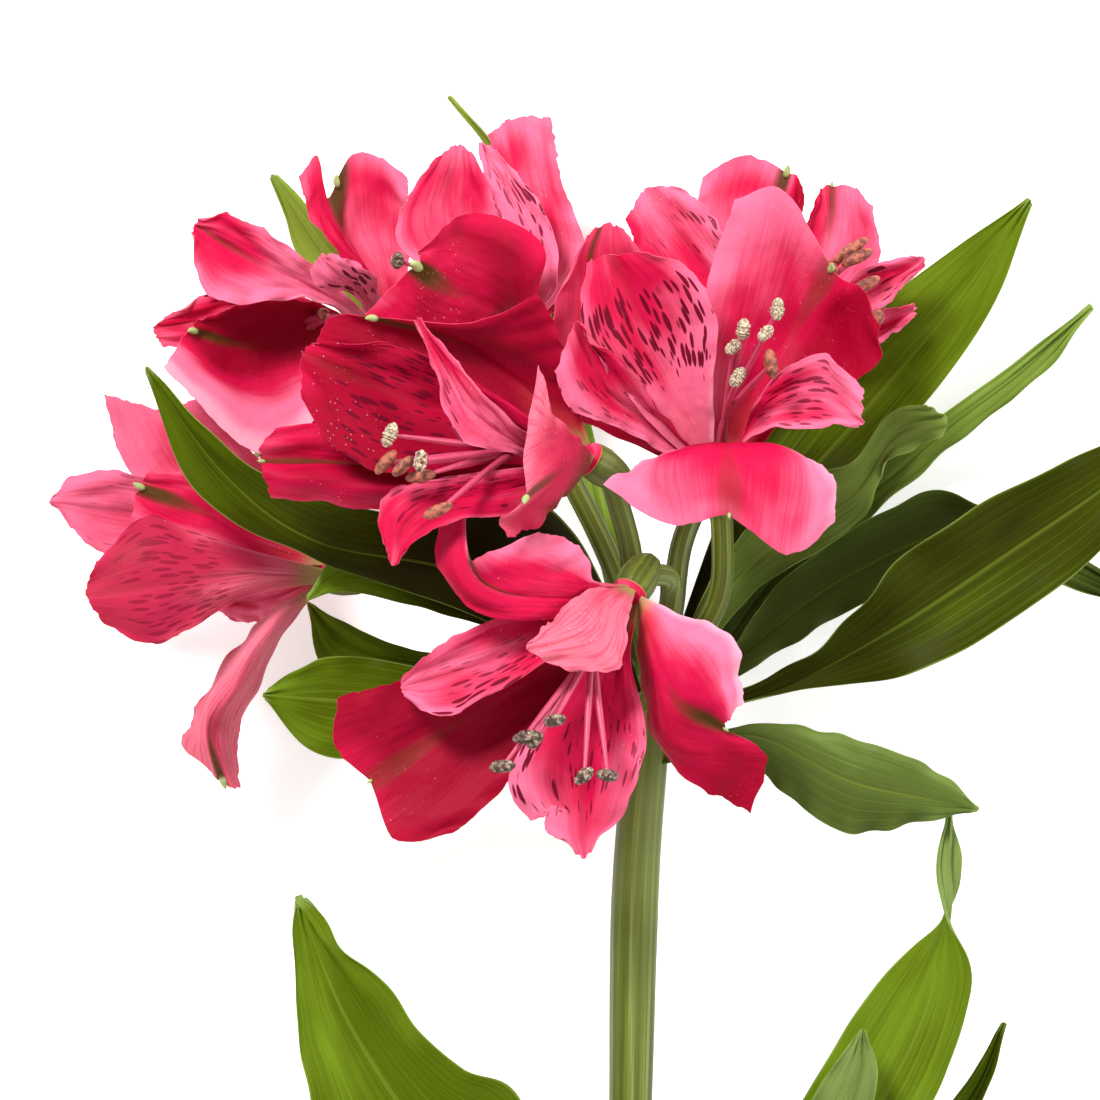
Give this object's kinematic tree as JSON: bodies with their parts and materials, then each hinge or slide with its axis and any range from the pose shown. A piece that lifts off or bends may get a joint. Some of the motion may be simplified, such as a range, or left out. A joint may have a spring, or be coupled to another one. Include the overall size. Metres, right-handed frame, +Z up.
{
  "type": "alstroemeria stem",
  "caption": "Cut flower stem lying on its side: a bare lower stalk, twisted narrow leaves and a round head of open pink funnel-shaped blooms with streaked inner petals.",
  "frame": {"origin": "on the surface that the object lies on, under the middle of its outline seen from above", "axes": "+Z up from that surface; +Y along the stem from its cut end towards the blooms; +X to the right when the stem is seen from above with its blooms at the top"},
  "size_m": [0.1998, 0.3594, 0.0952],
  "materials": {
    "stem": "satin green skin of a living stem",
    "petal": "thin velvety living petal",
    "stamen": "matt threads with powdery tips",
    "leaf": "soft satin living leaf"
  },
  "bodies": {
    "root": {"stem": "stem", "bloom_a_petals": "petal", "bloom_a_stamens": "stamen", "bloom_b_petals": "petal", "bloom_b_stamens": "stamen", "bloom_c_petals": "petal", "bloom_c_stamens": "stamen", "bloom_d_petals": "petal", "bloom_d_stamens": "stamen", "bloom_e_petals": "petal", "bloom_e_stamens": "stamen", "bloom_f_petals": "petal", "bloom_f_stamens": "stamen", "bloom_g_petals": "petal", "bloom_g_stamens": "stamen", "leaf_behind_big_right": "leaf", "leaf_behind_bloom_a": "leaf", "leaf_big_right": "leaf", "leaf_broad_left": "leaf", "leaf_curled_left": "leaf", "leaf_curled_right": "leaf", "leaf_left_corner": "leaf", "leaf_lower_right": "leaf", "leaf_narrow_right": "leaf", "leaf_over_bloom_d": "leaf", "leaf_stem_left": "leaf", "leaf_stem_lowest": "leaf", "leaf_stem_right": "leaf", "leaf_stem_small": "leaf", "leaf_stem_thin": "leaf", "leaf_thin_top": "leaf", "leaf_upper_left": "leaf"}
  },
  "joints": []
}
